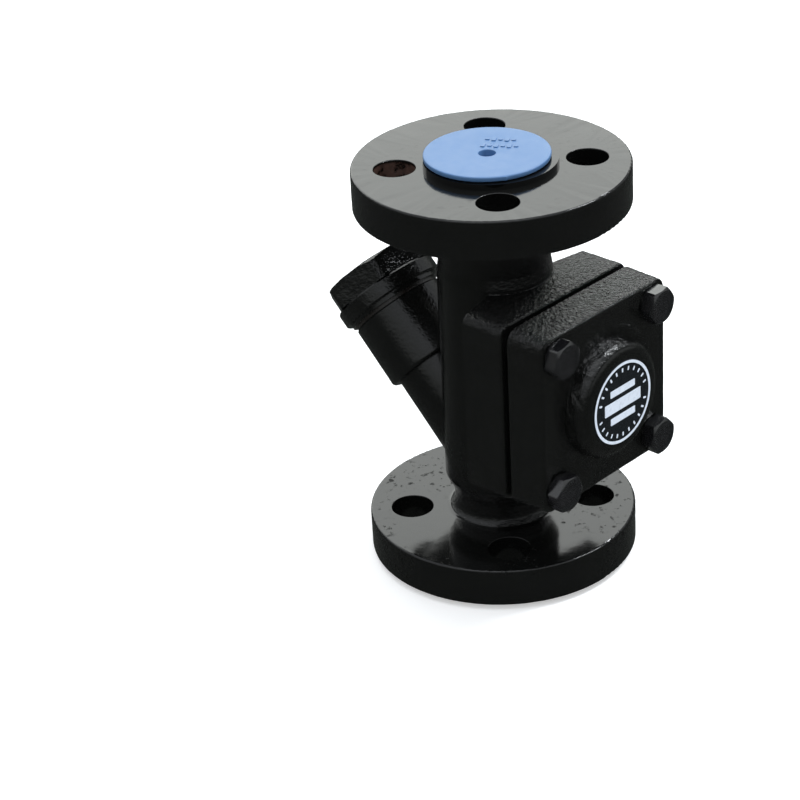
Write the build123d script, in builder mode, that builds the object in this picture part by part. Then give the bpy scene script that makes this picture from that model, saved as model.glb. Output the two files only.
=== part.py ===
"""In-line flanged steam trap, DN15, with a built-in Y-strainer.

Frame: millimetres, +Z up along the pipe run. The origin is the centre of the lower flange's raised face.
The side cover faces -Y. The strainer branch leaves the back of the body towards +Y and upwards.
Distances called "depth" run from the pipe axis towards the cover, along -Y, at the cover's mid height.
Distances called "station" run up the strainer branch from the point where it crosses the pipe axis.
"""

from build123d import *
import os
from math import cos, hypot, radians, sin

os.makedirs("parts", exist_ok=True)

# ---------------------------------------------------------------- driving dimensions, pipe run
face_to_face = 150.0
flange_diameter = 95.0
flange_plate = 14.0
raised_face_diameter = 46.0
raised_face_height = 2.0
flange_hole_circle = 65.0
inlet_hole_diameter = 15.0
outlet_hole_diameter = 14.4
flange_hole_count = 4
flange_edge = 0.8
hole_rim = 0.25
bore_diameter = 15.0
waterway_diameter = 15.8
inlet_bore_end = 26.0
outlet_bore_start = 86.0
outlet_bore_end = 140.0
barrel_radius = 20.0
lower_neck_radius = 17.0
upper_neck_radius = 19.4
taper_start = 24.0
barrel_start = 30.0
barrel_end = 109.5
upper_neck_start = 113.0
neck_fillet = 3.0
taper_fillet = 4.0

lower_flange_top = raised_face_height + flange_plate
upper_flange_bottom = face_to_face - lower_flange_top
flange_radius = flange_diameter / 2
raised_face_radius = raised_face_diameter / 2
bore_radius = bore_diameter / 2
waterway_radius = waterway_diameter / 2

# ---------------------------------------------------------------- driving dimensions, chamber and cover
chamber_height = 75.0
square_side = 66.0
square_edge_fillet = 1.0
square_corner = 4.0
web_small_width = 33.0
web_small_depth = 11.1
square_back_depth = 14.0
mating_face_depth = 31.0
chamber_floor_depth = 17.5
chamber_radius = 20.0
outlet_waterway_start = 66.0
gasket_thickness = 1.6
spigot_height = 1.2
spigot_radius = 29.0
gasket_inner_radius = 21.0
gasket_outer_radius = 28.5
cover_back_depth = mating_face_depth + gasket_thickness + spigot_height
cover_thickness = 14.3
cover_draft = 2.0
cover_front_depth = cover_back_depth + cover_thickness
cover_corner = 5.0
cover_edge_fillet = 1.2
pocket_depth = 41.0
dome_base_radius = 21.3
dome_shoulder_radius = 20.3
dome_front_depth = cover_front_depth + 7.2
dome_fillet = 4.4
dome_hollow_radius = 13.5
dome_wall = 4.7
plate_radius = 15.3
plate_thickness = 0.3

bolt_spacing = 50.3
bolt_radius = 4.0
bolt_hole_radius = 4.5
tapped_hole_radius = 4.1
tapped_hole_floor_depth = 17.0
bolt_tip_depth = 18.5
bolt_head_height = 5.3
bolt_across_flats = 12.0
bolt_head_chamfer = 0.75
bolt_land_radius = 5.6
bolt_turns = (-12.0, -5.0, 8.0, -12.0)

passage_radius = 3.5
passage_half_spacing = 5.0
passage_height = 59.5
passage_end = 18.0

# ---------------------------------------------------------------- driving dimensions, strainer branch
branch_lean = 45.0
branch_cross_height = 33.0
leg_radius = 14.7
boss_radius = 17.4
boss_start = 43.0
boss_end = 66.9
boss_edge = 0.5
boss_foot_fillet = 1.5
seat_start = 5.0
seat_end = 10.0
seat_radius = 9.95
strainer_bore_radius = 11.4
thread_bore_radius = 13.7
thread_bore_start = 54.5
strainer_gasket_thickness = 1.3
strainer_gasket_inner = 13.9
strainer_gasket_outer = 16.8
lip_radius = 18.0
lip_thickness = 1.4
collar_radius = 19.7
collar_thickness = 5.9
collar_edge = 0.6
plug_across_flats = 36.0
plug_corner_radius = 20.2
plug_head_height = 8.7
plug_head_chamfer = 1.3
plug_land_radius = 17.8
plug_turn = 53.0
plug_thread_radius = 13.4
plug_thread_length = 13.0
plug_recess_radius = 10.0
plug_recess_end = 67.0

screen_radius = 9.6
screen_sheet = 0.4
screen_start = 5.2
screen_end = 66.0
ring_outer_radius = 9.65
ring_inner_radius = 8.4
ring_length = 3.0
screen_hole_radius = 1.0
screen_hole_rows = 13
screen_hole_pitch = 4.0
screen_holes_round = 10

# ---------------------------------------------------------------- driving dimensions, regulator
seat_thread_radius = 6.85
seat_hole_radius = 7.0
seat_hole_end_depth = 4.0
seat_gasket_thickness = 0.8
seat_gasket_inner = 7.1
seat_gasket_outer = 9.4
seat_across_flats = 17.0
seat_head_height = 4.5
seat_nose_depth = 9.0
seat_bore_radius = 3.0
seat_counterbore_radius = 5.8
seat_counterbore_height = 2.3
seat_slot_width = 3.0
seat_slot_height = 1.8
stem_radius = 2.0
stem_tip_depth = 46.5
ball_radius = 4.0
ball_depth = 4.3
guide_hole_radius = 2.08
guide_outer_radius = 9.5
guide_thickness = 1.2
pair_count = 6
pair_pitch = 2.25
pair_first_gap = 0.1
disc_thickness = 0.95
disc_gap = 0.1
disc_radius = 12.5
disc_hole_radius = 2.35
disc_notch_radius = 1.2
pressure_washer_radius = 8.0
pressure_washer_thickness = 1.2
nut_across_flats = 7.0
nut_thread_radius = 2.05
adjusting_nut_height = 3.2
lock_nut_height = 2.2

# ---------------------------------------------------------------- driving dimensions, transport cap
cap_offset_x = -0.8
cap_offset_y = 0.9
cap_radius = 21.6
cap_thickness = 1.7
cap_edge = 0.3
cap_shoulder_radius = 12.0
cap_shoulder_height = 0.3
cap_spigot_radius = 6.0
cap_spigot_length = 8.0
cap_hole_radius = 2.9

overshoot = 1.0
hexagon_sides = 6
full_turn = 360.0

# ---------------------------------------------------------------- planes, axes and small helpers
run_profile = Plane.XZ
chamber_axis = Axis((0, 0, chamber_height), (0, -1, 0))
chamber_profile = Plane(origin=(0, 0, chamber_height), x_dir=(1, 0, 0), z_dir=(0, 0, -1))
lean_sin = sin(radians(branch_lean))
lean_cos = cos(radians(branch_lean))
branch_origin = (0, 0, branch_cross_height)
branch_axis = Axis(branch_origin, (0, lean_sin, lean_cos))
branch_profile = Plane(origin=branch_origin, x_dir=(0, lean_cos, -lean_sin), z_dir=(1, 0, 0))


def across_chamber(depth, x=0.0, z=chamber_height):
    """Plane square to the chamber's axis, facing the cover."""
    return Plane(origin=(x, -depth, z), x_dir=(1, 0, 0), z_dir=(0, -1, 0))


def across_branch(station):
    """Plane square to the strainer branch, facing up the branch."""
    place = (0, station * lean_sin, branch_cross_height + station * lean_cos)
    return Plane(origin=place, x_dir=(1, 0, 0), z_dir=(0, lean_sin, lean_cos))


def add_disc(plane, radius, length):
    """Add a round bar that stands on a plane."""
    with BuildSketch(plane) as profile:
        Circle(radius)
    extrude(profile.sketch, amount=length)


def cut_disc(plane, radius, length):
    """Cut a round hole that starts on a plane."""
    with BuildSketch(plane) as profile:
        Circle(radius)
    extrude(profile.sketch, amount=length, mode=Mode.SUBTRACT)


def add_ring(plane, inner, outer, length):
    """Add a flat ring that stands on a plane."""
    with BuildSketch(plane) as profile:
        Circle(outer)
        Circle(inner, mode=Mode.SUBTRACT)
    extrude(profile.sketch, amount=length)


def add_hexagon(plane, across_flats, length, turn):
    """Add a hexagon bar that stands on a plane."""
    with BuildSketch(plane) as profile:
        RegularPolygon(across_flats / 2, hexagon_sides, major_radius=False, rotation=turn)
    extrude(profile.sketch, amount=length)


def keep_turned(profile_plane, axis, outline):
    """Keep only what lies inside a turned outline, given as (radius, distance) points."""
    with BuildSketch(profile_plane) as profile:
        with BuildLine():
            Polyline(*outline, close=True)
        make_face()
    revolve(profile.sketch, axis=axis, mode=Mode.INTERSECT)


def corners_at(sketch, spots):
    """The sketch's corners that lie on the given (radius, distance) spots."""
    tolerance = 0.01
    chosen = ShapeList()
    for radius, distance in spots:
        for corner in sketch.vertices():
            if abs(corner.X - radius) < tolerance and abs(corner.Y - distance) < tolerance:
                chosen.append(corner)
    return chosen


def pipe_hole_rims(part):
    """The rims of the bolt holes in both pipe flanges."""
    tolerance = 0.01
    chosen = ShapeList()
    for edge in part.edges().filter_by(GeomType.CIRCLE):
        reach = hypot(edge.arc_center.X, edge.arc_center.Y)
        if abs(reach - flange_hole_circle / 2) < tolerance:
            chosen.append(edge)
    return chosen


def save(part, name):
    """Label a finished piece and write it."""
    part.label = name
    export_step(part, "parts/" + name + ".step")


# ---------------------------------------------------------------- trap body, one casting
run_outline = (
    (0, 0),
    (raised_face_radius, 0),
    (raised_face_radius, raised_face_height),
    (flange_radius, raised_face_height),
    (flange_radius, lower_flange_top),
    (lower_neck_radius, lower_flange_top),
    (lower_neck_radius, taper_start),
    (barrel_radius, barrel_start),
    (barrel_radius, barrel_end),
    (upper_neck_radius, upper_neck_start),
    (upper_neck_radius, upper_flange_bottom),
    (flange_radius, upper_flange_bottom),
    (flange_radius, face_to_face - raised_face_height),
    (raised_face_radius, face_to_face - raised_face_height),
    (raised_face_radius, face_to_face),
    (0, face_to_face),
)
flange_rims = (
    (flange_radius, raised_face_height),
    (flange_radius, lower_flange_top),
    (flange_radius, upper_flange_bottom),
    (flange_radius, face_to_face - raised_face_height),
)
neck_roots = (
    (lower_neck_radius, lower_flange_top),
    (upper_neck_radius, upper_flange_bottom),
)
taper_bends = (
    (lower_neck_radius, taper_start),
    (barrel_radius, barrel_start),
)
leg_outline = (
    (0, 0),
    (leg_radius, 0),
    (leg_radius, boss_start),
    (boss_radius, boss_start),
    (boss_radius, boss_end - boss_edge),
    (boss_radius - boss_edge, boss_end),
    (0, boss_end),
)
with BuildPart() as trap_body:
    # flanges, necks and barrel, turned about the pipe axis
    with BuildSketch(run_profile) as run_sketch:
        with BuildLine():
            Polyline(*run_outline, close=True)
        make_face()
        fillet(corners_at(run_sketch, flange_rims), radius=flange_edge)
        fillet(corners_at(run_sketch, neck_roots), radius=neck_fillet)
        fillet(corners_at(run_sketch, taper_bends), radius=taper_fillet)
    revolve(axis=Axis.Z)

    # square cover flange, and the web that draws it into the barrel
    with BuildSketch(across_chamber(square_back_depth)):
        RectangleRounded(square_side, square_side, square_corner)
    extrude(amount=mating_face_depth - square_back_depth)
    mating_face = trap_body.faces().sort_by(Axis.Y)[0]
    fillet(mating_face.edges(), radius=square_edge_fillet)
    with BuildSketch(across_chamber(square_back_depth)):
        RectangleRounded(square_side, square_side, square_corner)
    with BuildSketch(across_chamber(web_small_depth)):
        RectangleRounded(web_small_width, square_side, square_corner)
    loft()

    # strainer branch: cast leg and thicker boss
    with BuildSketch(branch_profile) as leg_sketch:
        with BuildLine():
            Polyline(*leg_outline, close=True)
        make_face()
        fillet(corners_at(leg_sketch, ((boss_radius, boss_start),)), radius=boss_foot_fillet)
    revolve(axis=branch_axis)

    # inlet bore, its cored elbow and the strainer bores
    cut_disc(Plane.XY.offset(-overshoot), bore_radius, inlet_bore_end + overshoot)
    cut_disc(Plane.XY.offset(inlet_bore_end), waterway_radius, branch_cross_height - inlet_bore_end)
    with Locations(branch_origin):
        Sphere(waterway_radius, mode=Mode.SUBTRACT)
    cut_disc(across_branch(0), waterway_radius, seat_end)
    cut_disc(across_branch(seat_start), seat_radius, seat_end)
    cut_disc(across_branch(seat_end), strainer_bore_radius, boss_end - seat_end + overshoot)
    cut_disc(across_branch(thread_bore_start), thread_bore_radius, boss_end - thread_bore_start + overshoot)

    # chamber, seat hole, outlet waterway, bore and mouth, and the two passages from the strainer
    cut_disc(across_chamber(chamber_floor_depth), chamber_radius, mating_face_depth)
    cut_disc(across_chamber(seat_hole_end_depth), seat_hole_radius, chamber_floor_depth)
    cut_disc(Plane.XY.offset(outlet_waterway_start), waterway_radius, outlet_bore_start - outlet_waterway_start)
    cut_disc(Plane.XY.offset(outlet_bore_start), bore_radius, outlet_bore_end - outlet_bore_start)
    cut_disc(Plane.XY.offset(outlet_bore_end), waterway_radius, face_to_face)
    for side in (-1, 1):
        passage_plane = across_chamber(-passage_end, side * passage_half_spacing, passage_height)
        cut_disc(passage_plane, passage_radius, passage_end + chamber_floor_depth + overshoot)

    # bolt holes through both pipe flanges, and tapped holes in the square flange
    outlet_plate_start = upper_flange_bottom - overshoot
    for plate_start, hole_diameter in ((0.0, inlet_hole_diameter), (outlet_plate_start, outlet_hole_diameter)):
        with BuildSketch(Plane.XY.offset(plate_start)):
            with PolarLocations(flange_hole_circle / 2, flange_hole_count, start_angle=branch_lean):
                Circle(hole_diameter / 2)
        extrude(amount=lower_flange_top + 2 * overshoot, mode=Mode.SUBTRACT)
    fillet(pipe_hole_rims(trap_body), radius=hole_rim)
    with BuildSketch(across_chamber(tapped_hole_floor_depth)):
        with GridLocations(bolt_spacing, bolt_spacing, 2, 2):
            Circle(tapped_hole_radius)
    extrude(amount=mating_face_depth, mode=Mode.SUBTRACT)

save(trap_body.part, "trap_body")

# ---------------------------------------------------------------- cover with its dome
dome_outline = (
    (0, cover_front_depth - overshoot),
    (dome_base_radius, cover_front_depth - overshoot),
    (dome_base_radius, cover_front_depth),
    (dome_shoulder_radius, dome_front_depth),
    (0, dome_front_depth),
)

with BuildPart() as cover:
    with BuildSketch(across_chamber(cover_back_depth)):
        RectangleRounded(square_side, square_side, cover_corner)
    extrude(amount=cover_thickness, taper=cover_draft)
    fillet(cover.edges().group_by(Axis.Y)[0], radius=cover_edge_fillet)
    with BuildSketch(chamber_profile) as dome_sketch:
        with BuildLine():
            Polyline(*dome_outline, close=True)
        make_face()
        fillet(corners_at(dome_sketch, ((dome_shoulder_radius, dome_front_depth),)), radius=dome_fillet)
    revolve(axis=chamber_axis)
    add_disc(across_chamber(cover_back_depth - spigot_height), spigot_radius, spigot_height)
    spigot_face = across_chamber(cover_back_depth - spigot_height)
    cut_disc(spigot_face, chamber_radius, pocket_depth - cover_back_depth + spigot_height)
    cut_disc(spigot_face, dome_hollow_radius, dome_front_depth - dome_wall - cover_back_depth + spigot_height)
    with BuildSketch(spigot_face):
        with GridLocations(bolt_spacing, bolt_spacing, 2, 2):
            Circle(bolt_hole_radius)
    extrude(amount=cover_thickness + spigot_height + overshoot, mode=Mode.SUBTRACT)

save(cover.part, "cover")

with BuildPart() as cover_gasket:
    add_ring(across_chamber(mating_face_depth), gasket_inner_radius, gasket_outer_radius, gasket_thickness)

save(cover_gasket.part, "cover_gasket")

with BuildPart() as name_plate:
    add_disc(across_chamber(dome_front_depth), plate_radius, plate_thickness)

save(name_plate.part, "name_plate")

# ---------------------------------------------------------------- cover bolts, four alike
bolt_top_depth = cover_front_depth + bolt_head_height
bolt_corner_radius = bolt_across_flats / 2 / cos(radians(full_turn / hexagon_sides / 2))
bolt_outline = (
    (0, cover_front_depth),
    (bolt_corner_radius, cover_front_depth),
    (bolt_corner_radius, bolt_top_depth - bolt_head_chamfer),
    (bolt_land_radius, bolt_top_depth),
    (0, bolt_top_depth),
)
bolt_profile = Plane(origin=(0, 0, 0), x_dir=(1, 0, 0), z_dir=(0, 0, -1))

with BuildPart() as bolt:
    add_hexagon(across_chamber(cover_front_depth, 0, 0), bolt_across_flats, bolt_head_height, 0)
    keep_turned(bolt_profile, Axis((0, 0, 0), (0, -1, 0)), bolt_outline)
    add_disc(across_chamber(bolt_tip_depth, 0, 0), bolt_radius, cover_front_depth - bolt_tip_depth)

bolt_corners = ((-1, 1), (1, 1), (-1, -1), (1, -1))
with BuildPart() as cover_bolts:
    for (side, level), turn in zip(bolt_corners, bolt_turns):
        place = (side * bolt_spacing / 2, 0, chamber_height + level * bolt_spacing / 2)
        with Locations(Location(place, (0, turn, 0))):
            add(bolt.part)

save(cover_bolts.part, "cover_bolts")

# ---------------------------------------------------------------- valve seat and its gasket
seat_flange_depth = chamber_floor_depth + seat_gasket_thickness
seat_top_depth = seat_flange_depth + seat_head_height

with BuildPart() as valve_seat:
    add_hexagon(across_chamber(seat_flange_depth), seat_across_flats, seat_head_height, 0)
    add_disc(across_chamber(seat_nose_depth), seat_thread_radius, seat_flange_depth - seat_nose_depth)
    cut_disc(across_chamber(seat_nose_depth), seat_bore_radius, seat_top_depth)
    counterbore_plane = across_chamber(seat_top_depth - seat_counterbore_height)
    cut_disc(counterbore_plane, seat_counterbore_radius, seat_head_height)
    with BuildSketch(across_chamber(seat_top_depth - seat_slot_height)):
        for step in range(hexagon_sides // 2):
            Rectangle(3 * seat_across_flats, seat_slot_width, rotation=(step + 0.5) * full_turn / hexagon_sides)
    extrude(amount=seat_head_height, mode=Mode.SUBTRACT)

save(valve_seat.part, "valve_seat")

with BuildPart() as seat_gasket:
    add_ring(across_chamber(chamber_floor_depth), seat_gasket_inner, seat_gasket_outer, seat_gasket_thickness)

save(seat_gasket.part, "seat_gasket")

with BuildPart() as guide_washer:
    add_ring(across_chamber(seat_top_depth), guide_hole_radius, guide_outer_radius, guide_thickness)

save(guide_washer.part, "guide_washer")

# ---------------------------------------------------------------- stem with its closing ball
with BuildPart() as valve_stem:
    add_disc(across_chamber(ball_depth), stem_radius, stem_tip_depth - ball_depth)
    with Locations((0, -ball_depth, chamber_height)):
        Sphere(ball_radius)

save(valve_stem.part, "valve_stem")

# ---------------------------------------------------------------- bimetal stack
stack_start_depth = seat_top_depth + guide_thickness + pair_first_gap
for number in range(pair_count):
    pair_depth = stack_start_depth + number * pair_pitch
    with BuildPart() as bimetal_pair:
        for disc_depth in (pair_depth, pair_depth + disc_thickness + disc_gap):
            with BuildSketch(across_chamber(disc_depth)):
                Circle(disc_radius)
                Circle(disc_hole_radius, mode=Mode.SUBTRACT)
                with Locations((0, disc_radius)):
                    Circle(disc_notch_radius, mode=Mode.SUBTRACT)
            extrude(amount=disc_thickness)
    save(bimetal_pair.part, "bimetal_pair_" + str(number + 1))

washer_depth = stack_start_depth + pair_count * pair_pitch
with BuildPart() as pressure_washer:
    washer_plane = across_chamber(washer_depth)
    add_ring(washer_plane, nut_thread_radius, pressure_washer_radius, pressure_washer_thickness)

save(pressure_washer.part, "pressure_washer")

adjusting_nut_depth = washer_depth + pressure_washer_thickness
with BuildPart() as adjusting_nut:
    add_hexagon(across_chamber(adjusting_nut_depth), nut_across_flats, adjusting_nut_height, 0)
    cut_disc(across_chamber(adjusting_nut_depth), nut_thread_radius, adjusting_nut_height)

save(adjusting_nut.part, "adjusting_nut")

lock_nut_depth = adjusting_nut_depth + adjusting_nut_height
with BuildPart() as lock_nut:
    add_hexagon(across_chamber(lock_nut_depth), nut_across_flats, lock_nut_height, 17)
    cut_disc(across_chamber(lock_nut_depth), nut_thread_radius, lock_nut_height)

save(lock_nut.part, "lock_nut")

# ---------------------------------------------------------------- strainer screen and its end rings
sheet_start = screen_start + ring_length
sheet_length = screen_end - screen_start - 2 * ring_length

with BuildPart() as strainer_screen:
    add_ring(across_branch(sheet_start), screen_radius - screen_sheet, screen_radius, sheet_length)
    for row in range(screen_hole_rows):
        row_station = sheet_start + screen_hole_pitch / 2 + row * screen_hole_pitch
        row_plane = across_branch(row_station)
        stagger = (row % 2) / 2
        for column in range(screen_holes_round):
            angle = (column + stagger) * full_turn / screen_holes_round
            outward = row_plane.x_dir * cos(radians(angle)) + row_plane.y_dir * sin(radians(angle))
            cut_disc(Plane(origin=row_plane.origin, z_dir=outward), screen_hole_radius, screen_radius + overshoot)

save(strainer_screen.part, "strainer_screen")

with BuildPart() as screen_lower_ring:
    add_ring(across_branch(screen_start), ring_inner_radius, ring_outer_radius, ring_length)

save(screen_lower_ring.part, "screen_lower_ring")

with BuildPart() as screen_upper_ring:
    add_ring(across_branch(screen_end - ring_length), ring_inner_radius, ring_outer_radius, ring_length)

save(screen_upper_ring.part, "screen_upper_ring")

# ---------------------------------------------------------------- strainer plug and its gasket
with BuildPart() as strainer_gasket:
    gasket_plane = across_branch(boss_end)
    add_ring(gasket_plane, strainer_gasket_inner, strainer_gasket_outer, strainer_gasket_thickness)

save(strainer_gasket.part, "strainer_gasket")

lip_start = boss_end + strainer_gasket_thickness
collar_start = lip_start + lip_thickness
plug_head_start = collar_start + collar_thickness
plug_top = plug_head_start + plug_head_height
plug_head_outline = (
    (0, plug_head_start),
    (plug_corner_radius, plug_head_start),
    (plug_corner_radius, plug_top - plug_head_chamfer),
    (plug_land_radius, plug_top),
    (0, plug_top),
)
collar_outline = (
    (0, lip_start),
    (lip_radius, lip_start),
    (lip_radius, collar_start),
    (collar_radius - collar_edge, collar_start),
    (collar_radius, collar_start + collar_edge),
    (collar_radius, plug_head_start - collar_edge),
    (collar_radius - collar_edge, plug_head_start),
    (0, plug_head_start),
)

with BuildPart() as strainer_cap:
    add_hexagon(across_branch(plug_head_start), plug_across_flats, plug_head_height, plug_turn)
    keep_turned(branch_profile, branch_axis, plug_head_outline)
    with BuildSketch(branch_profile):
        with BuildLine():
            Polyline(*collar_outline, close=True)
        make_face()
    revolve(axis=branch_axis)
    thread_start = lip_start - plug_thread_length
    add_disc(across_branch(thread_start), plug_thread_radius, plug_thread_length)
    cut_disc(across_branch(thread_start), plug_recess_radius, plug_recess_end - thread_start)

save(strainer_cap.part, "strainer_cap")

# ---------------------------------------------------------------- transport cap on the outlet
cap_bottom = face_to_face + cap_shoulder_height
cap_plane_low = Plane(origin=(cap_offset_x, cap_offset_y, face_to_face - cap_spigot_length))
cap_plane_face = Plane(origin=(cap_offset_x, cap_offset_y, face_to_face))
cap_plane_disc = Plane(origin=(cap_offset_x, cap_offset_y, cap_bottom))

with BuildPart() as outlet_cap:
    add_disc(cap_plane_disc, cap_radius, cap_thickness)
    chamfer(outlet_cap.edges(), length=cap_edge)
    add_disc(cap_plane_face, cap_shoulder_radius, cap_shoulder_height)
    add_disc(cap_plane_low, cap_spigot_radius, cap_spigot_length)
    cut_disc(cap_plane_low, cap_hole_radius, cap_spigot_length + cap_shoulder_height + cap_thickness)

save(outlet_cap.part, "outlet_cap")
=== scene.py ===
"""Looks of the steam trap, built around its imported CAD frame. Metres, in the frame of the CAD."""
import math

import bmesh
import bpy
import numpy as np
from mathutils import Matrix, Vector, noise


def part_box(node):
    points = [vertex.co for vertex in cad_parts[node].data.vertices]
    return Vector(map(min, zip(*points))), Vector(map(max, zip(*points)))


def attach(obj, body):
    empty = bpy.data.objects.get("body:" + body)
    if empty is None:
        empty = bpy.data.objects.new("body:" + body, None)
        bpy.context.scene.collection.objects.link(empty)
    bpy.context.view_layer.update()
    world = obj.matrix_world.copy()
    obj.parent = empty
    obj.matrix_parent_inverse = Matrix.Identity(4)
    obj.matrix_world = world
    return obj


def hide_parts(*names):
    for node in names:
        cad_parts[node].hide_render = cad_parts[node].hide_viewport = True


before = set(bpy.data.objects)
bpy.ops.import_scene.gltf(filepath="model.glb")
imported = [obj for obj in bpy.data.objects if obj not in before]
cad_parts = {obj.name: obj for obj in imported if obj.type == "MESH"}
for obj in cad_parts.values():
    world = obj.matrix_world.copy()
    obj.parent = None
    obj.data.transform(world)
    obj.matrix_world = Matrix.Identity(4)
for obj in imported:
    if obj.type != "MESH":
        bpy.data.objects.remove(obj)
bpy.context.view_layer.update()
scene = bpy.context.scene

MM = 0.001

# ------------------------------------------------------------------ sizes taken from the frame
body_low, body_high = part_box("trap_body")
cover_low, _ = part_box("cover")
plate_low, plate_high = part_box("name_plate")
_, gasket_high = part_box("cover_gasket")
bolts_low, bolts_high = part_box("cover_bolts")
cap_low, cap_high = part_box("outlet_cap")

BODY_HEIGHT = body_high.z - body_low.z
MID_HEIGHT = (plate_low.z + plate_high.z) / 2
FLANGE_THICK = 16 * MM
FLANGE_EDGE_START = 46.3 * MM
HOLE_REACH = 32.5 * MM * math.cos(math.radians(45))
OUTLET_HOLE_RADIUS = 7.2 * MM
SQUARE_BACK = -12 * MM
MATING_DEPTH = -gasket_high.y
COVER_FRONT = 48.1 * MM
DOME_FRONT = -cover_low.y
CHAMBER_FLOOR = -17 * MM
CHAMBER_RADIUS = 20 * MM
BRANCH_LEAN = math.radians(45)
BRANCH_CROSS = 33 * MM
BRANCH_DIR = Vector((0, math.sin(BRANCH_LEAN), math.cos(BRANCH_LEAN)))
BRANCH_FOOT = Vector((0, 0, BRANCH_CROSS))
BOLT_SPACING = 50.3 * MM
BOLT_FLATS = 12 * MM
BOLT_LAND = 5.6 * MM
BOLT_SHANK = 4 * MM
BOLT_DISH = 0.42 * MM
THREAD_PITCH = 1.25 * MM
THREAD_DEPTH = 0.55 * MM
BOLT_TURNS = (-12.0, -5.0, 8.0, -12.0)

# degrees between the points of a ring round a bolt or the plate
RING_STEP = 3.0

# limits between the faces that are seen and those inside, where the mesh stays as coarse as in the CAD
AS_IN_CAD = 1.0
PIPE_INSIDE = 12 * MM
CHAMBER_INSIDE = CHAMBER_RADIUS + 1 * MM
BRANCH_INSIDE = 13.9 * MM
BRANCH_INSIDE_START = 15 * MM
COVER_INSIDE = 28 * MM
COVER_INSIDE_FRONT = COVER_FRONT - 1.5 * MM
DOME_INSIDE = 14 * MM
DOME_INSIDE_FRONT = DOME_FRONT - 2.5 * MM
PLUG_OUTSIDE_START = 68.3 * MM

# ------------------------------------------------------------------ camera, floor and light
CAMERA_AZIMUTH = math.radians(-45.60)
CAMERA_ELEVATION = math.radians(28.51)
CAMERA_ROLL = math.radians(-3.21)
CAMERA_DISTANCE = 0.907
CAMERA_LENS = 117.0
AIM_HEIGHT = 0.075
AIM_RIGHT = 0.0341
AIM_UP = 0.0156

SKY_LOW = (0.055, 0.060, 0.057)
SKY_HORIZON = (0.42, 0.44, 0.43)
SKY_TOP = (0.70, 0.73, 0.77)
SKY_HORIZON_AT = 0.18
SKY_TOP_AT = 0.7
FLOOR_HALF = 4.0
FLOOR_GLOW = 0.45


def make_camera():
    """The camera looks at the body's middle, then slides so that the trap sits right of centre."""
    back = Vector((
        math.sin(CAMERA_AZIMUTH) * math.cos(CAMERA_ELEVATION),
        -math.cos(CAMERA_AZIMUTH) * math.cos(CAMERA_ELEVATION),
        math.sin(CAMERA_ELEVATION),
    ))
    level_right = (-back).cross(Vector((0, 0, 1))).normalized()
    level_up = level_right.cross(-back)
    right = math.cos(CAMERA_ROLL) * level_right + math.sin(CAMERA_ROLL) * level_up
    up = math.cos(CAMERA_ROLL) * level_up - math.sin(CAMERA_ROLL) * level_right
    data = bpy.data.cameras.new("camera")
    data.lens = CAMERA_LENS
    data.sensor_width = 36.0
    data.clip_start = 0.01
    camera = bpy.data.objects.new("camera", data)
    place = Vector((0, 0, AIM_HEIGHT)) + back * CAMERA_DISTANCE - right * AIM_RIGHT - up * AIM_UP
    turn = Matrix((right, up, back)).transposed().to_4x4()
    camera.matrix_world = Matrix.Translation(place) @ turn
    scene.collection.objects.link(camera)
    scene.camera = camera


def add_area(name, place, aim, width, height, radiance, colour):
    """A soft box, given by the radiance of its face."""
    data = bpy.data.lights.new(name, "AREA")
    data.shape = "RECTANGLE"
    data.size = width
    data.size_y = height
    data.energy = radiance * math.pi * width * height
    data.color = colour
    light = bpy.data.objects.new(name, data)
    light.location = place
    light.rotation_mode = "QUATERNION"
    light.rotation_quaternion = (Vector(aim) - Vector(place)).to_track_quat("-Z", "Y")
    light.visible_camera = False
    scene.collection.objects.link(light)


def make_floor():
    """A pale paper floor under the trap."""
    mesh = bpy.data.meshes.new("floor")
    corners = [
        (x * FLOOR_HALF, y * FLOOR_HALF, body_low.z)
        for x, y in ((-1, -1), (1, -1), (1, 1), (-1, 1))
    ]
    mesh.from_pydata(corners, [], [(0, 1, 2, 3)])
    floor = bpy.data.objects.new("floor", mesh)
    scene.collection.objects.link(floor)
    material = bpy.data.materials.new("floor_paper")
    material.use_nodes = True
    shader = material.node_tree.nodes["Principled BSDF"]
    shader.inputs["Emission Color"].default_value = (1, 1, 1, 1)
    shader.inputs["Emission Strength"].default_value = FLOOR_GLOW
    shader.inputs["Base Color"].default_value = (0.90, 0.90, 0.90, 1)
    shader.inputs["Roughness"].default_value = 0.9
    mesh.materials.append(material)
    floor.visible_glossy = False


def make_sky():
    """White to the camera; to the trap, dark below the horizon and pale above it."""
    world = bpy.data.worlds.new("tent")
    scene.world = world
    world.use_nodes = True
    nodes, links = world.node_tree.nodes, world.node_tree.links
    nodes.clear()
    where = nodes.new("ShaderNodeTexCoord")
    split = nodes.new("ShaderNodeSeparateXYZ")
    ramp = nodes.new("ShaderNodeValToRGB")
    path = nodes.new("ShaderNodeLightPath")
    mix = nodes.new("ShaderNodeMix")
    mix.data_type = "RGBA"
    back = nodes.new("ShaderNodeBackground")
    out = nodes.new("ShaderNodeOutputWorld")
    links.new(where.outputs["Generated"], split.inputs[0])
    links.new(split.outputs["Z"], ramp.inputs[0])
    low, horizon = ramp.color_ramp.elements[0], ramp.color_ramp.elements[1]
    low.position, low.color = 0.0, (*SKY_LOW, 1)
    horizon.position, horizon.color = SKY_HORIZON_AT, (*SKY_HORIZON, 1)
    top = ramp.color_ramp.elements.new(SKY_TOP_AT)
    top.color = (*SKY_TOP, 1)
    links.new(ramp.outputs[0], mix.inputs[6])
    mix.inputs[7].default_value = (1, 1, 1, 1)
    links.new(path.outputs["Is Camera Ray"], mix.inputs[0])
    links.new(mix.outputs[2], back.inputs[0])
    links.new(back.outputs[0], out.inputs[0])


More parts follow.
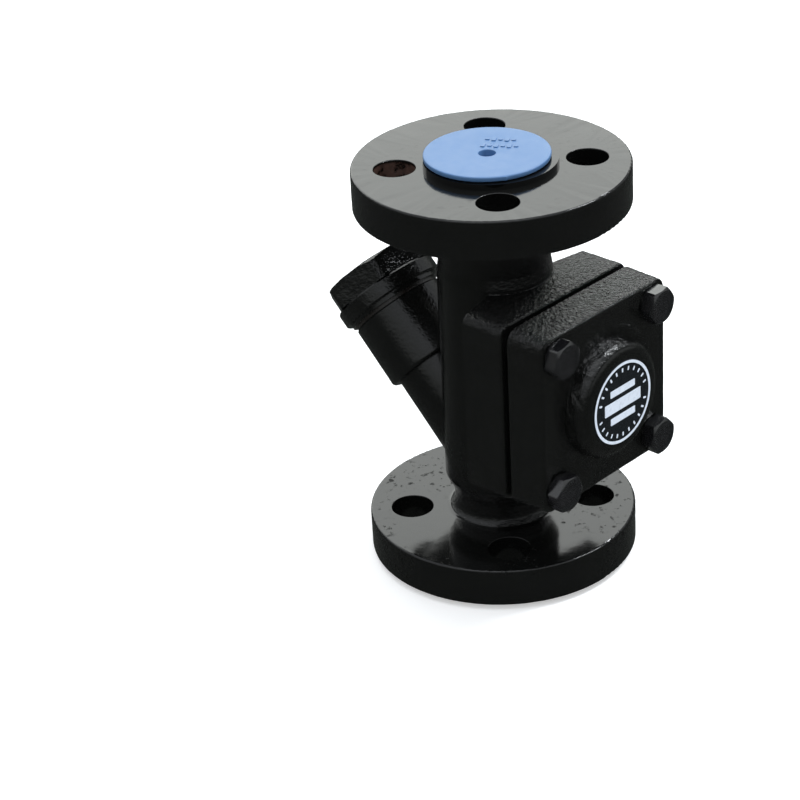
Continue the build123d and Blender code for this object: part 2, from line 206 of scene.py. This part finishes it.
def make_lights():
    """A wide soft box behind, one above, and a tall bright lamp to the right that draws the glints."""
    behind = Vector((-math.sin(CAMERA_AZIMUTH), math.cos(CAMERA_AZIMUTH), 0))
    middle = (0, 0, 0.1)
    behind = behind * 2.2 + Vector((0, 0, 1.35))
    add_area("soft_box_behind", behind, middle, 3.2, 2.0, 1.7, (0.97, 1.0, 0.955))
    add_area("soft_box_above", Vector((-0.3, -0.2, 2.2)), middle, 1.6, 1.6, 1.0, (0.95, 0.98, 1.0))
    dome = (0, -0.03, 0.08)
    add_area("lamp_right", Vector((0.85, -0.48, 1.36)), dome, 0.20, 0.54, 34.0, (0.93, 0.97, 1.0))


scene.view_settings.view_transform = "Standard"
scene.view_settings.look = "None"
make_camera()
make_floor()
make_sky()
make_lights()


# ------------------------------------------------------------------ node helpers
def new_material(name):
    """A new node material and its Principled shader."""
    material = bpy.data.materials.new(name)
    material.use_nodes = True
    return material, material.node_tree, material.node_tree.nodes["Principled BSDF"]


def add_noise(tree, scale, detail=3.0, rough=0.5, distort=0.0):
    """Noise in object space, in the frame's metres."""
    node = tree.nodes.new("ShaderNodeTexNoise")
    node.inputs["Scale"].default_value = scale
    node.inputs["Detail"].default_value = detail
    node.inputs["Roughness"].default_value = rough
    node.inputs["Distortion"].default_value = distort
    where = tree.nodes.new("ShaderNodeTexCoord")
    tree.links.new(where.outputs["Object"], node.inputs["Vector"])
    return node.outputs["Fac"]


def add_range(tree, source, low, high, new_low, new_high):
    """Source carried from one range to another, held inside it."""
    node = tree.nodes.new("ShaderNodeMapRange")
    node.clamp = True
    tree.links.new(source, node.inputs[0])
    for place, value in zip((1, 2, 3, 4), (low, high, new_low, new_high)):
        node.inputs[place].default_value = value
    return node.outputs[0]


def add_math(tree, kind, first, second):
    """One sum on two values, each a socket or a number."""
    node = tree.nodes.new("ShaderNodeMath")
    node.operation = kind
    for place, value in enumerate((first, second)):
        if isinstance(value, (int, float)):
            node.inputs[place].default_value = value
        else:
            tree.links.new(value, node.inputs[place])
    return node.outputs[0]


def add_blend(tree, factor, first, second):
    """Mix of two colours, each a socket or three numbers."""
    node = tree.nodes.new("ShaderNodeMix")
    node.data_type = "RGBA"
    tree.links.new(factor, node.inputs[0])
    for place, value in zip((6, 7), (first, second)):
        if isinstance(value, tuple):
            node.inputs[place].default_value = (*value, 1)
        else:
            tree.links.new(value, node.inputs[place])
    return node.outputs[2]


def add_bump(tree, height, distance, strength=1.0, below=None):
    """A bump with its height in metres."""
    node = tree.nodes.new("ShaderNodeBump")
    node.inputs["Strength"].default_value = strength
    node.inputs["Distance"].default_value = distance
    tree.links.new(height, node.inputs["Height"])
    if below is not None:
        tree.links.new(below, node.inputs["Normal"])
    return node.outputs[0]


def add_attribute(tree, name):
    """A value stored on the mesh's points."""
    node = tree.nodes.new("ShaderNodeAttribute")
    node.attribute_name = name
    return node.outputs["Fac"]


def add_places(tree):
    """X, Y and Z in the frame, one socket each."""
    where = tree.nodes.new("ShaderNodeTexCoord")
    split = tree.nodes.new("ShaderNodeSeparateXYZ")
    tree.links.new(where.outputs["Object"], split.inputs[0])
    return split.outputs["X"], split.outputs["Y"], split.outputs["Z"]


def add_product(tree, *sources):
    """All the sources multiplied together."""
    product = sources[0]
    for source in sources[1:]:
        product = add_math(tree, "MULTIPLY", product, source)
    return product


def add_rusty_hole(tree):
    """1 in patches on the bare wall of the upper flange's left rear bolt hole, 0 elsewhere."""
    x, y, z = add_places(tree)
    across = add_math(tree, "POWER", add_math(tree, "ADD", x, HOLE_REACH), 2.0)
    along = add_math(tree, "POWER", add_math(tree, "SUBTRACT", y, HOLE_REACH), 2.0)
    off_hole = add_math(tree, "SQRT", add_math(tree, "ADD", across, along), 0.0)
    wall_start = OUTLET_HOLE_RADIUS + 0.05 * MM
    wall = add_range(tree, off_hole, wall_start, wall_start + 0.2 * MM, 1, 0)
    hole_bottom = BODY_HEIGHT - FLANGE_THICK
    hole_top = BODY_HEIGHT - 2 * MM
    above = add_range(tree, z, hole_bottom + 0.4 * MM, hole_bottom + 2.0 * MM, 0, 1)
    below = add_range(tree, z, hole_top - 1.4 * MM, hole_top - 0.6 * MM, 1, 0)
    patch = add_range(tree, add_noise(tree, 260, 4.0), 0.36, 0.50, 0, 1)
    return add_product(tree, wall, patch, above, below)


# ------------------------------------------------------------------ materials
def add_dust(tree):
    """Pale specks that gather in some areas."""
    specks = add_range(tree, add_noise(tree, 2100, 2.0), 0.71, 0.76, 0, 1)
    areas = add_range(tree, add_noise(tree, 55, 2.0), 0.52, 0.66, 0, 0.32)
    return add_product(tree, specks, areas)


def add_dirt(tree):
    """Dull blotches, strongest low down."""
    blotches = add_range(tree, add_noise(tree, 420, 4.0, 0.62), 0.57, 0.66, 0, 1)
    areas = add_range(tree, add_noise(tree, 38, 1.0), 0.48, 0.58, 0, 1.0)
    _, _, z = add_places(tree)
    low_down = add_range(tree, z, 20 * MM, 60 * MM, 1.0, 0.2)
    return add_product(tree, blotches, areas, low_down)


def make_black_paint():
    """Gloss black enamel: near a mirror on machined faces, sand grain where the mesh says so, dirt and dust."""
    material, tree, shader = new_material("black_enamel")
    grain = add_attribute(tree, "grain")
    rust = add_rusty_hole(tree)
    dust = add_dust(tree)
    dirt = add_dirt(tree)

    colour = add_blend(tree, add_noise(tree, 90, 4.0), (0.0034, 0.0036, 0.0034), (0.0056, 0.0059, 0.0056))
    colour = add_blend(tree, dust, colour, (0.20, 0.20, 0.19))
    bare = add_blend(tree, add_noise(tree, 700, 4.0), (0.110, 0.052, 0.036), (0.036, 0.018, 0.013))
    colour = add_blend(tree, rust, colour, bare)
    tree.links.new(colour, shader.inputs["Base Color"])
    shader.inputs["IOR"].default_value = 1.5

    haze = add_range(tree, add_noise(tree, 50, 5.0, 0.6), 0.35, 0.70, 0.085, 0.135)
    for zone, more in ((grain, 0.06), (dirt, 0.42), (dust, 0.5), (rust, 0.6)):
        haze = add_math(tree, "ADD", haze, add_math(tree, "MULTIPLY", zone, more))
    tree.links.new(haze, shader.inputs["Roughness"])
    shine = add_math(tree, "SUBTRACT", 0.5, add_math(tree, "MULTIPLY", dirt, 0.34))
    tree.links.new(shine, shader.inputs["Specular IOR Level"])

    sand = add_product(tree, add_noise(tree, 820, 2.5, 0.62), grain)
    normal = add_bump(tree, add_noise(tree, 150, 2.0), 0.000035)
    normal = add_bump(tree, sand, 0.00110, below=normal)
    normal = add_bump(tree, dirt, 0.00003, below=normal)
    tree.links.new(normal, shader.inputs["Normal"])
    return material


def make_plain(name, colour, other, scale, rough, metallic=0.0, bump=0.00002, ior=1.5):
    """A finish with two close tones, uneven gloss and a fine surface."""
    material, tree, shader = new_material(name)
    tree.links.new(add_blend(tree, add_noise(tree, scale, 4.0), colour, other), shader.inputs["Base Color"])
    gloss = add_range(tree, add_noise(tree, scale * 2, 4.0), 0.3, 0.7, rough[0], rough[1])
    tree.links.new(gloss, shader.inputs["Roughness"])
    shader.inputs["Metallic"].default_value = metallic
    shader.inputs["IOR"].default_value = ior
    tree.links.new(add_bump(tree, add_noise(tree, scale * 8, 3.0), bump), shader.inputs["Normal"])
    return material


black_paint = make_black_paint()
bolt_paint = make_plain(
    "bolt_enamel", (0.004, 0.004, 0.005), (0.009, 0.009, 0.010), 400, (0.08, 0.17), bump=0.00004, ior=1.9,
)
joint_paint = make_plain(
    "painted_joint", (0.006, 0.006, 0.006), (0.020, 0.016, 0.013), 900, (0.16, 0.34), bump=0.00004,
)
graphite = make_plain("graphite_sheet", (0.006, 0.006, 0.006), (0.012, 0.012, 0.012), 500, (0.5, 0.7))
copper = make_plain("dull_copper", (0.40, 0.21, 0.12), (0.30, 0.17, 0.11), 300, (0.35, 0.5), 1.0)
blue_plastic = make_plain(
    "blue_polyethylene", (0.098, 0.220, 0.448), (0.109, 0.235, 0.470), 120, (0.36, 0.46),
)
plate_black = make_plain(
    "plate_black", (0.006, 0.008, 0.010), (0.009, 0.011, 0.014), 300, (0.16, 0.24), bump=0.000005,
)
plate_white = make_plain(
    "plate_white", (0.60, 0.66, 0.76), (0.66, 0.72, 0.81), 300, (0.25, 0.32), bump=0.000005,
)
stainless = make_plain("turned_stainless", (0.60, 0.60, 0.58), (0.52, 0.52, 0.50), 700, (0.22, 0.34), 1.0)
bimetal = make_plain("rolled_bimetal", (0.52, 0.47, 0.38), (0.44, 0.41, 0.37), 350, (0.25, 0.38), 1.0)
screen_sheet = make_plain(
    "perforated_stainless", (0.58, 0.58, 0.56), (0.50, 0.50, 0.48), 900, (0.26, 0.40), 1.0,
)


# ------------------------------------------------------------------ mesh helpers
def link_piece(name, mesh, body, materials, stands_for):
    """A finished piece: linked, painted, riding on its body and shown in place of its CAD node."""
    piece = bpy.data.objects.new(name, mesh)
    scene.collection.objects.link(piece)
    for material in materials:
        mesh.materials.append(material)
    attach(piece, body)
    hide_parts(stands_for)
    return piece


def points_of(mesh):
    """The mesh's points as an array."""
    flat = np.empty(len(mesh.vertices) * 3, np.float32)
    mesh.vertices.foreach_get("co", flat)
    return flat.reshape(-1, 3).astype(np.float64)


def normals_of(mesh):
    """The mesh's point normals as an array."""
    flat = np.empty(len(mesh.vertices) * 3, np.float32)
    mesh.vertex_normals.foreach_get("vector", flat)
    return flat.reshape(-1, 3).astype(np.float64)


def step(value, low, high):
    """0 below low, 1 above high and smooth between."""
    share = np.clip((value - low) / (high - low), 0, 1)
    return share * share * (3 - 2 * share)


def store(mesh, name, values):
    """Keeps one number for each point on the mesh."""
    layer = mesh.attributes.new(name, "FLOAT", "POINT")
    layer.data.foreach_set("value", np.asarray(values, np.float32))


def roughness_at(points, size, octaves, where):
    """Fractal noise of that grain size, worked out only where it counts."""
    heights = np.zeros(len(points))
    for index in np.nonzero(where > 0.01)[0]:
        heights[index] = noise.fractal(Vector(points[index] / size), 1.0, 2.0, octaves)
    return heights


def refined(node, longest, rounds=8):
    """A copy of a CAD node's mesh, cut until no edge is longer than longest(point) asks.

    The CAD's own normals go along with every cut, so round faces stay round to the light.
    """
    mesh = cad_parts[node].data.copy()
    mesh.materials.clear()
    corners = np.empty(len(mesh.loops) * 3, np.float32)
    mesh.corner_normals.foreach_get("vector", corners)
    layer = mesh.attributes.new("cad_normal", "FLOAT_VECTOR", "CORNER")
    layer.data.foreach_set("vector", corners)
    bm = bmesh.new()
    bm.from_mesh(mesh)
    bmesh.ops.remove_doubles(bm, verts=bm.verts, dist=0.002 * MM)
    bmesh.ops.triangulate(bm, faces=bm.faces)
    for _ in range(rounds):
        long_edges = [e for e in bm.edges if e.calc_length() > longest((e.verts[0].co + e.verts[1].co) / 2)]
        if not long_edges:
            break
        bmesh.ops.subdivide_edges(bm, edges=long_edges, cuts=1)
        bmesh.ops.triangulate(bm, faces=[f for f in bm.faces if len(f.verts) > 3])
    bm.to_mesh(mesh)
    bm.free()
    return mesh


def roughen(mesh, moved):
    """Moves each point along its normal, and turns the CAD's normals by as much as the surface turned."""
    points, before = points_of(mesh), normals_of(mesh)
    mesh.vertices.foreach_set("co", (points + before * moved[:, None]).astype(np.float32).ravel())
    mesh.update()
    turned = normals_of(mesh) - before
    corner_points = np.empty(len(mesh.loops), np.int32)
    mesh.loops.foreach_get("vertex_index", corner_points)
    flat = np.empty(len(mesh.loops) * 3, np.float32)
    mesh.attributes["cad_normal"].data.foreach_get("vector", flat)
    normals = flat.reshape(-1, 3) + turned[corner_points]
    normals /= np.maximum(np.linalg.norm(normals, axis=1), 1e-9)[:, None]
    mesh.attributes.remove(mesh.attributes["cad_normal"])
    mesh.polygons.foreach_set("use_smooth", np.ones(len(mesh.polygons), bool))
    mesh.normals_split_custom_set([tuple(n) for n in normals])


def smooth_shaded(bm, name, sharp=math.radians(35)):
    """The finished mesh of a bmesh, smooth but for its sharp edges."""
    bmesh.ops.recalc_face_normals(bm, faces=bm.faces)
    mesh = bpy.data.meshes.new(name)
    bm.to_mesh(mesh)
    bm.free()
    mesh.polygons.foreach_set("use_smooth", np.ones(len(mesh.polygons), bool))
    mesh.set_sharp_from_angle(angle=sharp)
    return mesh


def skin_rings(bm, rings, closed=False):
    """Quads between rings of points, each ring closed on itself; returns the faces."""
    rows = [[bm.verts.new(point) for point in ring] for ring in rings]
    pairs = list(zip(rows, rows[1:])) + ([(rows[-1], rows[0])] if closed else [])
    faces = []
    for low, high in pairs:
        count = len(low)
        for i in range(count):
            faces.append(bm.faces.new((low[i], low[(i + 1) % count], high[(i + 1) % count], high[i])))
    return rows, faces


def rounded_corner(centre, radius, start, end, count=4):
    """Points of an arc in a profile, angles in degrees."""
    angles = np.radians(np.linspace(start, end, count))
    return [(centre[0] + radius * math.cos(a), centre[1] + radius * math.sin(a)) for a in angles]


# ------------------------------------------------------------------ the castings
def branch_place(points):
    """How far along the strainer branch each point lies, and how far off its axis."""
    from_foot = points - np.array(BRANCH_FOOT)
    along = from_foot @ np.array(BRANCH_DIR)
    off_axis = np.linalg.norm(from_foot - along[:, None] * np.array(BRANCH_DIR), axis=1)
    return along, off_axis


def body_edge_length(place):
    """Longest edges in the body casting: fine on sand-cast faces, as in the CAD on the others."""
    x, y, z = place
    if z < FLANGE_THICK or z > BODY_HEIGHT - FLANGE_THICK:
        return 1.6 * MM if x * x + y * y > FLANGE_EDGE_START ** 2 else AS_IN_CAD
    if math.hypot(x, y) < PIPE_INSIDE:
        return AS_IN_CAD
    if y < CHAMBER_FLOOR and math.hypot(x, z - MID_HEIGHT) < CHAMBER_INSIDE:
        return AS_IN_CAD
    if y < SQUARE_BACK:
        return 0.8 * MM
    from_foot = place - BRANCH_FOOT
    along = from_foot.dot(BRANCH_DIR)
    if along > BRANCH_INSIDE_START and (from_foot - along * BRANCH_DIR).length < BRANCH_INSIDE:
        return AS_IN_CAD
    return 1.5 * MM


def make_body():
    """The body casting: sand grain on the square flange, softer grain on the branch, worn flange edges."""
    mesh = refined("trap_body", body_edge_length)
    points = points_of(mesh)
    normals = normals_of(mesh)
    x, y, z = points.T
    run = np.hypot(x, y)
    along, off_branch = branch_place(points)
    flange = (z < FLANGE_THICK + 0.3 * MM) | (z > BODY_HEIGHT - FLANGE_THICK - 0.3 * MM)
    inside = (run < PIPE_INSIDE) | ((along > BRANCH_INSIDE_START) & (off_branch < BRANCH_INSIDE))
    inside |= (y < CHAMBER_FLOOR) & (np.hypot(x, z - MID_HEIGHT) < CHAMBER_INSIDE)
    square = step(-y, -SQUARE_BACK - 4 * MM, -SQUARE_BACK + 1 * MM) * ~flange
    facing_up = step(normals[:, 2], 0.2, 0.7)
    branch = step(y, 12 * MM, 20 * MM) * (off_branch < 22 * MM) * ~flange
    low_neck = step(-z, -29 * MM, -25 * MM)
    cast = np.where(flange | inside, 0, 0.08 + 0.06 * branch + 0.25 * low_neck)
    cast = np.maximum(cast, square * (0.30 + 0.70 * facing_up) * ~inside)
    mating = (y < -MATING_DEPTH + 0.1 * MM) & (normals[:, 1] < -0.9)
    cast = np.where(mating, 0, cast)
    moved = 0.13 * MM * cast * roughness_at(points, 1.3 * MM, 2, cast)
    moved += 0.05 * MM * (cast > 0) * roughness_at(points, 7 * MM, 1, cast)
    edge = flange & (run > FLANGE_EDGE_START)
    moved += 0.05 * MM * edge * roughness_at(points, 2.2 * MM, 2, edge * 1.0)
    roughen(mesh, moved)
    store(mesh, "grain", cast)
    return link_piece("body_casting", mesh, "trap_body", [black_paint], "trap_body")


def cover_edge_length(place):
    """Longest edges in the cover casting: fine outside, as in the CAD in its hollow."""
    off_axis = math.hypot(place.x, place.z - MID_HEIGHT)
    if place.y > -COVER_INSIDE_FRONT and off_axis < COVER_INSIDE:
        return AS_IN_CAD
    if place.y < -DOME_INSIDE_FRONT and off_axis < DOME_INSIDE:
        return AS_IN_CAD
    return 0.8 * MM


def make_cover():
    """The cover casting: sand grain on its edges, a smoother face and a lumpy root around the dome."""
    mesh = refined("cover", cover_edge_length)
    points = points_of(mesh)
    normals = normals_of(mesh)
    off_axis = np.hypot(points[:, 0], points[:, 2] - MID_HEIGHT)
    inside = (points[:, 1] > -COVER_INSIDE_FRONT) & (off_axis < COVER_INSIDE)
    back = (normals[:, 1] > 0.9)
    side = step(-normals[:, 1], 0.9, 0.5) * (off_axis > 26 * MM)
    facing_up = step(normals[:, 2], 0.2, 0.7)
    cast = np.where(inside | back, 0, 0.10 + side * (0.25 + 0.65 * facing_up))
    dome = (off_axis < 25 * MM) & (points[:, 1] < -COVER_FRONT + 0.5 * MM)
    root = dome * step(points[:, 1], -DOME_FRONT + 0.3 * MM, -DOME_FRONT + 2.5 * MM)
    cast = np.where(root > 0.2, 0.35, cast)
    moved = 0.12 * MM * cast * roughness_at(points, 1.3 * MM, 2, cast)
    moved += 0.05 * MM * (cast > 0) * roughness_at(points, 6 * MM, 1, cast)
    moved += 0.26 * MM * root * roughness_at(points, 2.6 * MM, 2, root)
    roughen(mesh, moved)
    store(mesh, "grain", cast)
    return link_piece("cover_casting", mesh, "trap_body", [black_paint], "cover")


def plug_edge_length(place):
    """Longest edges in the strainer plug: fine on its head and collar only."""
    return 0.9 * MM if (place - BRANCH_FOOT).dot(BRANCH_DIR) > PLUG_OUTSIDE_START else AS_IN_CAD


def make_strainer_plug():
    """The hexagon plug that closes the strainer branch, with a thick uneven coat of paint."""
    mesh = refined("strainer_cap", plug_edge_length)
    points = points_of(mesh)
    along, _ = branch_place(points)
    outside = step(along, 68.4 * MM, 69.5 * MM)
    moved = 0.05 * MM * outside * roughness_at(points, 1.6 * MM, 2, outside)
    moved += 0.12 * MM * outside * roughness_at(points, 5 * MM, 1, outside)
    roughen(mesh, moved)
    store(mesh, "grain", 0.16 * outside)
    return link_piece("strainer_plug", mesh, "strainer_cap", [black_paint], "strainer_cap")


# ------------------------------------------------------------------ cover bolts
def ring_along_y(x, z, radii, y):
    """A ring of points about a line along Y; radii and y are one number, or one for each point."""
    around = np.radians(np.arange(0, 360, RING_STEP))
    radii = np.broadcast_to(radii, around.shape)
    y = np.broadcast_to(y, around.shape)
    return [(x + r * math.sin(a), d, z + r * math.cos(a)) for r, a, d in zip(radii, around, y)]


def bolt_crown(radii):
    """Where the head's end face lies at each radius: dished inside, falling away over the corners."""
    dish = BOLT_DISH * (1 - step(radii, 3.6 * MM, 4.9 * MM))
    fall = np.maximum(radii - BOLT_LAND, 0) * math.tan(math.radians(32))
    return bolts_low.y + dish + fall


def bolt_head_rings(x, z, turn):
    """The head from its middle outwards, down its flats and in under its washer face."""
    around = np.radians(np.arange(0, 360, RING_STEP))
    apothem = BOLT_FLATS / 2
    corner = (around - turn + math.pi / 6) % (math.pi / 3) - math.pi / 6
    outline = np.minimum(apothem / np.cos(corner), apothem * 1.13)
    rings = []
    for share in (0.02, 0.25, 0.5, 0.62, 0.7, 0.78, 0.86):
        radius = share * BOLT_LAND
        rings.append(ring_along_y(x, z, radius, bolt_crown(radius)))
    for share in np.linspace(0, 1, 7):
        radii = BOLT_LAND + (outline - BOLT_LAND) * share
        rings.append(ring_along_y(x, z, radii, bolt_crown(radii)))
    edge = bolt_crown(outline)
    seat = -COVER_FRONT
    foot = seat - 0.5 * MM
    for share in (0.06, 0.5, 0.94):
        rings.append(ring_along_y(x, z, outline, edge + (foot - edge) * share))
    rings.append(ring_along_y(x, z, outline * 0.985, foot))
    rings.append(ring_along_y(x, z, apothem * 0.95, foot))
    rings.append(ring_along_y(x, z, apothem * 0.95, seat))
    rings.append(ring_along_y(x, z, BOLT_SHANK, seat))
    return rings


def bolt_thread_rings(x, z):
    """The threaded end, its ridges and its chamfered tip."""
    start, tip = -MATING_DEPTH, bolts_high.y
    rings = [ring_along_y(x, z, BOLT_SHANK, start)]
    for count in range(int((tip - start - 1 * MM) / THREAD_PITCH)):
        rings.append(ring_along_y(x, z, BOLT_SHANK, start + (count + 0.35) * THREAD_PITCH))
        rings.append(ring_along_y(x, z, BOLT_SHANK - THREAD_DEPTH, start + (count + 0.85) * THREAD_PITCH))
    rings.append(ring_along_y(x, z, BOLT_SHANK - 0.6 * MM, tip - 0.3 * MM))
    rings.append(ring_along_y(x, z, BOLT_SHANK - 1.2 * MM, tip))
    return rings


def add_bolt(bm, x, z, turn):
    """One hexagon bolt along +Y, closed at both ends."""
    rows, _ = skin_rings(bm, bolt_head_rings(x, z, turn) + bolt_thread_rings(x, z))
    bm.faces.new(rows[0])
    bm.faces.new(rows[-1])


def make_cover_bolts():
    """The four bolts that hold the cover, each turned as it was tightened."""
    bm = bmesh.new()
    for (side, level), turn in zip(((-1, 1), (1, 1), (-1, -1), (1, -1)), BOLT_TURNS):
        x, z = side * BOLT_SPACING / 2, MID_HEIGHT + level * BOLT_SPACING / 2
        add_bolt(bm, x, z, math.radians(turn))
    mesh = smooth_shaded(bm, "cover_bolt_set", math.radians(24))
    return link_piece("cover_bolt_set", mesh, "trap_body", [bolt_paint], "cover_bolts")


# ------------------------------------------------------------------ name plate
def add_inlay(bm, outline, low_y, high_y):
    """A thin raised shape on the plate, its outline in millimetres from the plate's middle."""
    low, high = [], []
    for x, up in outline:
        low.append((x * MM, low_y, MID_HEIGHT + up * MM))
        high.append((x * MM, high_y, MID_HEIGHT + up * MM))
    rows, faces = skin_rings(bm, (low, high))
    faces += [bm.faces.new(rows[0]), bm.faces.new(rows[1])]
    for face in faces:
        face.material_index = 1


def bar_outline(x, up, width, height, turn=0.0, corner=0.35):
    """A rounded bar about a middle, turned by an angle."""
    points = []
    for sx, sy, start in ((1, 1, 0), (-1, 1, 90), (-1, -1, 180), (1, -1, 270)):
        middle = (sx * (width / 2 - corner), sy * (height / 2 - corner))
        points += rounded_corner(middle, corner, start, start + 90)
    cosine, sine = math.cos(turn), math.sin(turn)
    return [(x + a * cosine - b * sine, up + a * sine + b * cosine) for a, b in points]


def make_plate():
    """A black disc with a white ring, three blank white panels and a ring of ticks; it bears no lettering."""
    bm = bmesh.new()
    back, front = plate_high.y, plate_low.y
    edge = (plate_high.x - plate_low.x) / 2
    soft = 0.1 * MM
    disc = ((edge, back), (edge, front + soft), (edge - soft, front), (0.2 * MM, front))
    rows, _ = skin_rings(bm, [ring_along_y(0, MID_HEIGHT, radius, y) for radius, y in disc])
    bm.faces.new(rows[0])
    bm.faces.new(rows[-1])
    raised = front - 0.04 * MM
    wide, narrow = 14.92 * MM, 13.9 * MM
    band = ((wide, front), (wide, raised), (narrow, raised), (narrow, front))
    _, faces = skin_rings(bm, [ring_along_y(0, MID_HEIGHT, radius, y) for radius, y in band], closed=True)
    for face in faces:
        face.material_index = 1
    for up, width, height in ((5.2, 13.0, 2.6), (0.0, 19.0, 4.4), (-5.2, 13.0, 2.6)):
        add_inlay(bm, bar_outline(0, up, width, height), front, raised)
    ticks = 24
    tick_circle = 12.1
    for count in range(ticks):
        turn = math.tau * count / ticks
        beside_panel = abs(math.sin(turn)) > 0.97
        if not beside_panel:
            middle = (tick_circle * math.sin(turn), tick_circle * math.cos(turn))
            add_inlay(bm, bar_outline(*middle, 0.7, 1.5, -turn, 0.2), front, raised)
    mesh = smooth_shaded(bm, "blank_plate")
    return link_piece("blank_plate", mesh, "trap_body", [plate_black, plate_white], "name_plate")


# ------------------------------------------------------------------ transport cap
CAP_OUTER = (cap_high.x - cap_low.x) / 2
CAP_MIDDLE = Vector(((cap_low.x + cap_high.x) / 2, (cap_low.y + cap_high.y) / 2, 0))
CAP_HOLE = 2.9 * MM
CAP_SPIGOT = 6.0 * MM
CAP_SHOULDER = 12.0 * MM
CAP_SOFT = 0.45 * MM
CAP_SAG = 0.40 * MM
CAP_STEP = 2.0
NIB_TURN = CAMERA_AZIMUTH + math.radians(13)
NIB_REACH = 0.45 * MM
NIB_WIDTH = 0.5 * MM
BAR_SPACING = 2.2
BAR_TILT = math.radians(-14)
BAR_SINK = 0.05 * MM
BAR_RISE = 0.32 * MM


def cap_top_at(radius):
    """Height of the cap's slightly sunk upper face."""
    return cap_high.z - CAP_SAG * (1 - step(radius, 3 * MM, 17 * MM))


def cap_profile():
    """The cap's section: up the spigot, out under the disc, round its edge and back to the hole."""
    bottom, top, face = cap_low.z, cap_high.z, BODY_HEIGHT
    disc = face + 0.3 * MM
    rim = CAP_OUTER - CAP_SOFT
    profile = [(CAP_HOLE, bottom + 0.3 * MM), (CAP_HOLE + 0.3 * MM, bottom), (CAP_SPIGOT - 0.4 * MM, bottom)]
    profile += [(CAP_SPIGOT, bottom + 0.5 * MM), (CAP_SPIGOT, face)]
    profile += [(CAP_SHOULDER, face), (CAP_SHOULDER, disc), (rim, disc)]
    profile += rounded_corner((rim, disc + CAP_SOFT), CAP_SOFT, -90, 0)[1:]
    profile += rounded_corner((rim, top - CAP_SOFT), CAP_SOFT, 0, 90)
    inwards = np.linspace(CAP_OUTER - 1.2 * MM, CAP_HOLE + 0.5 * MM, 16)
    profile += [(radius, cap_top_at(radius)) for radius in inwards]
    profile += rounded_corner((CAP_HOLE + 0.3 * MM, cap_top_at(0) - 0.3 * MM), 0.3 * MM, 90, 180)[1:]
    return profile


def cap_ring(radius, height):
    """A ring of the cap, pushed out a little at the moulding nib."""
    at_edge = radius > CAP_OUTER - 0.2 * MM
    ring = []
    for angle in np.radians(np.arange(0, 360, CAP_STEP)):
        away = abs((angle - NIB_TURN + math.pi) % math.tau - math.pi) * CAP_OUTER
        reach = radius + (NIB_REACH * math.exp(-((away / NIB_WIDTH) ** 2)) if at_edge else 0.0)
        ring.append((CAP_MIDDLE.x + reach * math.sin(angle), CAP_MIDDLE.y - reach * math.cos(angle), height))
    return ring


def add_cap_bars(bm):
    """Two rows of plain raised bars, by turns short and long, behind and right of the hole."""
    right = Vector((math.cos(CAMERA_AZIMUTH), math.sin(CAMERA_AZIMUTH), 0))
    away = Vector((-math.sin(CAMERA_AZIMUTH), math.cos(CAMERA_AZIMUTH), 0))
    for row, (shift, count) in enumerate(((6.2, 6), (11.4, 5))):
        for place in range(count):
            across = -1.0 + 1.8 * row + BAR_SPACING * place
            back = shift - 0.25 * across
            flat = CAP_MIDDLE + right * across * MM + away * back * MM
            low = cap_top_at((flat - CAP_MIDDLE).length) - BAR_SINK
            outline = bar_outline(0, 0, 1.5, 1.5 if (place + row) % 2 else 2.9, BAR_TILT, 0.4)
            walls = []
            for height in (low, low + BAR_RISE):
                base = flat + Vector((0, 0, height))
                walls.append([tuple(base + right * a * MM + away * b * MM) for a, b in outline])
            rows, _ = skin_rings(bm, walls)
            bm.faces.new(rows[0])
            bm.faces.new(rows[1])


def make_transport_cap():
    """The moulded cap, with its hole, spigot, nib and bars."""
    bm = bmesh.new()
    skin_rings(bm, [cap_ring(radius, height) for radius, height in cap_profile()], closed=True)
    add_cap_bars(bm)
    mesh = smooth_shaded(bm, "transport_cap")
    return link_piece("transport_cap", mesh, "outlet_cap", [blue_plastic], "outlet_cap")


make_body()
make_cover()
make_strainer_plug()
make_cover_bolts()
make_plate()
make_transport_cap()

# ------------------------------------------------------------------ finishes of the CAD nodes that stay
for node, material in (
    ("cover_gasket", graphite), ("strainer_gasket", joint_paint), ("seat_gasket", copper),
    ("valve_seat", stainless), ("guide_washer", stainless), ("valve_stem", stainless),
    ("pressure_washer", stainless), ("adjusting_nut", stainless), ("lock_nut", stainless),
    ("screen_lower_ring", stainless), ("screen_upper_ring", stainless), ("strainer_screen", screen_sheet),
    *((f"bimetal_pair_{n}", bimetal) for n in range(1, 7)),
):
    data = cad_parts[node].data
    data.materials.clear()
    data.materials.append(material)
